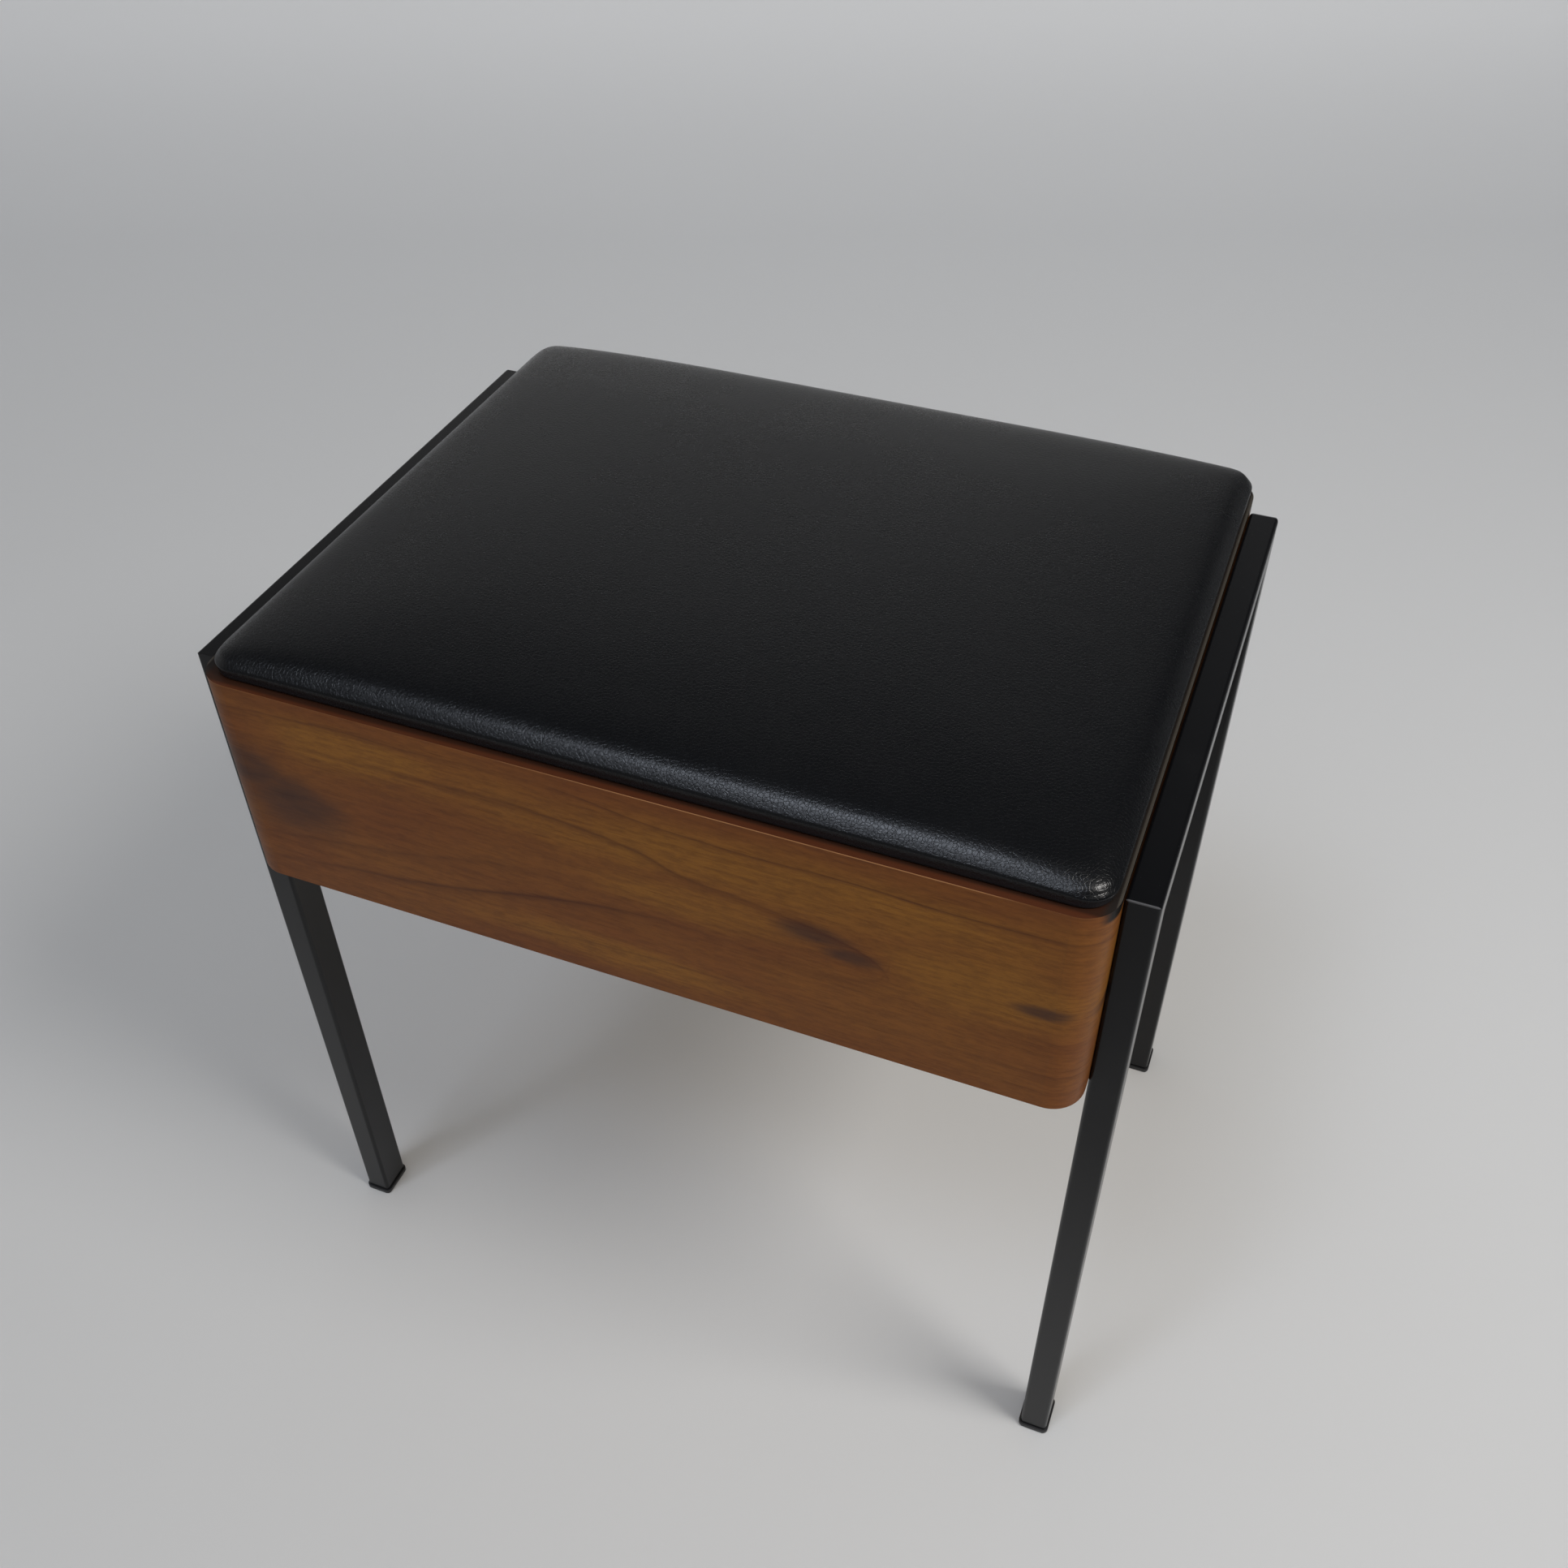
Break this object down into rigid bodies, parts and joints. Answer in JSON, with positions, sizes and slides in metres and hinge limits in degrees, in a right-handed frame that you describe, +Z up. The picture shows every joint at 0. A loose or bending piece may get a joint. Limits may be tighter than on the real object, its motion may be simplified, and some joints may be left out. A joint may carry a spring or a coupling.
{
  "type": "sewing stool",
  "caption": "Stool whose bent wood box hangs between two steel frames, with a padded lid that hinges up at the back and a divided tray that slides inside.",
  "frame": {"origin": "on the floor, under the middle of the stool", "axes": "+X along the long side, to the right of someone facing the front; +Y from the front to the hinged back; +Z up"},
  "size_m": [0.456, 0.3432, 0.4649],
  "materials": {
    "frame_paint": "satin black enamel",
    "glide_plastic": "matt black",
    "teak_veneer": "oiled teak, grain level round the box",
    "birch_ply": "bare birch plywood, matt",
    "beech": "bare beech, matt",
    "foam": "open foam, matt",
    "black_vinyl": "black vinyl with a fine leather grain, semi-matt",
    "brass": "plain brass",
    "zinc_screw": "zinc plated"
  },
  "bodies": {
    "stand": {"left_front_leg": "frame_paint", "left_rear_leg": "frame_paint", "right_front_leg": "frame_paint", "right_rear_leg": "frame_paint", "left_rail": "frame_paint", "right_rail": "frame_paint", "left_front_glide": "glide_plastic", "left_rear_glide": "glide_plastic", "right_front_glide": "glide_plastic", "right_rear_glide": "glide_plastic", "box_shell": "teak_veneer", "bottom_panel": "birch_ply", "frame_screws": "zinc_screw", "front_runner": "beech", "rear_runner": "beech", "runner_screws": "brass", "left_hinge_wall_leaf": "brass", "right_hinge_wall_leaf": "brass", "left_hinge_pin": "brass", "right_hinge_pin": "brass", "hinge_wall_screws": "brass"},
    "lid": {"left_hinge_lid_leaf": "brass", "right_hinge_lid_leaf": "brass", "hinge_lid_screws": "brass", "lid_board": "birch_ply", "seat_foam": "foam", "seat_cover": "black_vinyl", "lid_lining": "birch_ply", "lining_screws": "brass"},
    "tray": {"tray_front": "beech", "tray_back": "beech", "tray_left_end": "beech", "tray_right_end": "beech", "tray_bottom": "birch_ply", "tray_long_divider": "birch_ply", "tray_front_divider": "birch_ply", "tray_rear_divider": "birch_ply"}
  },
  "joints": [
    {"name": "lid_hinge", "type": "hinge", "parent": "stand", "child": "lid", "pos_m": [0, 0.17145, 0.44515], "axis": [-1, 0, 0], "range_deg": [0, 96]},
    {"name": "tray_slide", "type": "slide", "parent": "stand", "child": "tray", "axis": [1, 0, 0], "range_m": [0, 0.196]}
  ]
}
